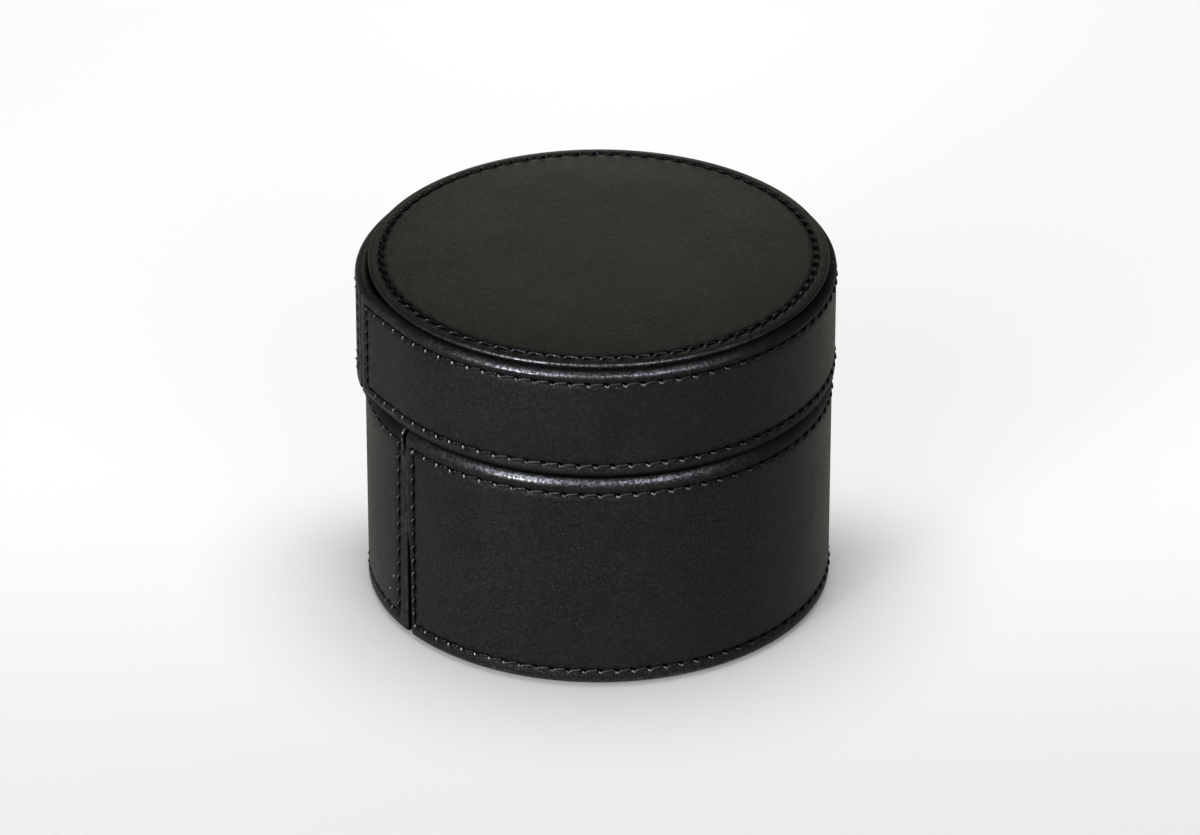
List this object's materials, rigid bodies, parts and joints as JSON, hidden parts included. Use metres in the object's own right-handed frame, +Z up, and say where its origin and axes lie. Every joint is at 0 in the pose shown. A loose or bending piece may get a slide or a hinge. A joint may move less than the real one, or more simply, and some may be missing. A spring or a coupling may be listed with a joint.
{
  "type": "round jewelry box",
  "caption": "Round stitched leather jewelry box with a lift-off lid, a lift-out tray with ring rolls, and a compartment below.",
  "frame": {"origin": "centre of the underside of the base's pad, where the closed box stands", "axes": "+Z up along the box's axis, -Y towards the front of the picture, +X to its right"},
  "size_m": [0.1106, 0.1106, 0.0847],
  "materials": {
    "black_leather": "smooth, satin",
    "black_thread": "waxed thread",
    "board": "plain greyboard",
    "suede": "short napped suede",
    "foam": "thin foam sheet"
  },
  "bodies": {
    "base": {"base_pad": "suede", "base_floor": "board", "base_wall": "board", "base_stiffener": "board", "base_wrap": "black_leather", "base_thread": "black_thread", "base_neck": "suede", "tray_ledge": "suede", "floor_lining": "suede"},
    "tray": {"tray_floor": "suede", "tray_wall": "suede", "tray_lining": "suede", "tray_divider": "suede", "tray_cross_divider": "suede", "ring_roll_1": "suede", "ring_roll_2": "suede", "ring_roll_3": "suede", "ring_roll_4": "suede", "pull_tab_left": "black_leather", "pull_tab_right": "black_leather"},
    "lid": {"lid_wall": "board", "lid_top_board": "board", "lid_stiffener": "board", "lid_band": "black_leather", "lid_band_thread": "black_thread", "lid_cover": "black_leather", "lid_cover_foam": "foam", "lid_cover_thread": "black_thread", "lid_lining": "suede", "lid_ceiling_pad": "suede"}
  },
  "joints": [
    {"name": "tray_lift", "type": "slide", "parent": "base", "child": "tray", "axis": [0, 0, 1], "range_m": [0, 0.06]},
    {"name": "lid_lift", "type": "slide", "parent": "tray", "child": "lid", "axis": [0, 0, 1], "range_m": [0, 0.045]}
  ]
}
